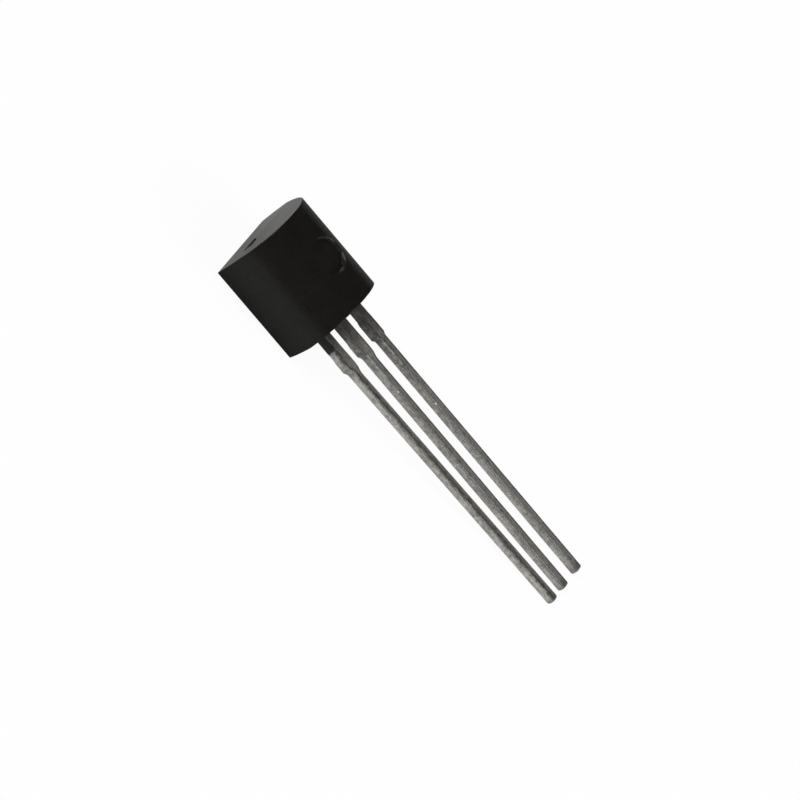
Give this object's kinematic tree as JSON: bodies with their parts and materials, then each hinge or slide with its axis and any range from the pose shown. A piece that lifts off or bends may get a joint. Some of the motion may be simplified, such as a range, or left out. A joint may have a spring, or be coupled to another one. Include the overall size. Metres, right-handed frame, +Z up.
{
  "type": "to-92 transistor",
  "caption": "Small through-hole transistor: a D-section moulded case with a flat front and rounded back, and a row of straight leads from one end.",
  "frame": {"origin": "on the surface it lies on, under the middle of its outline seen from above", "axes": "+X from the case towards the lead tips, +Z up through the rounded back, +Y across the row of leads from the emitter to the base"},
  "size_m": [0.019, 0.0046, 0.0038],
  "materials": {
    "epoxy": "black epoxy moulding compound, finely textured satin",
    "tinned_lead": "dull grey tin plate with fine lengthwise drawing marks and pits",
    "silicon": "polished grey-blue silicon",
    "die_bond": "matt silver-filled bond",
    "gold_wire": "drawn gold wire"
  },
  "bodies": {
    "root": {"moulded_case": "epoxy", "emitter_lead": "tinned_lead", "collector_lead": "tinned_lead", "base_lead": "tinned_lead", "silicon_die": "silicon", "die_attach": "die_bond", "emitter_bond_wire": "gold_wire", "base_bond_wire": "gold_wire"}
  },
  "joints": []
}
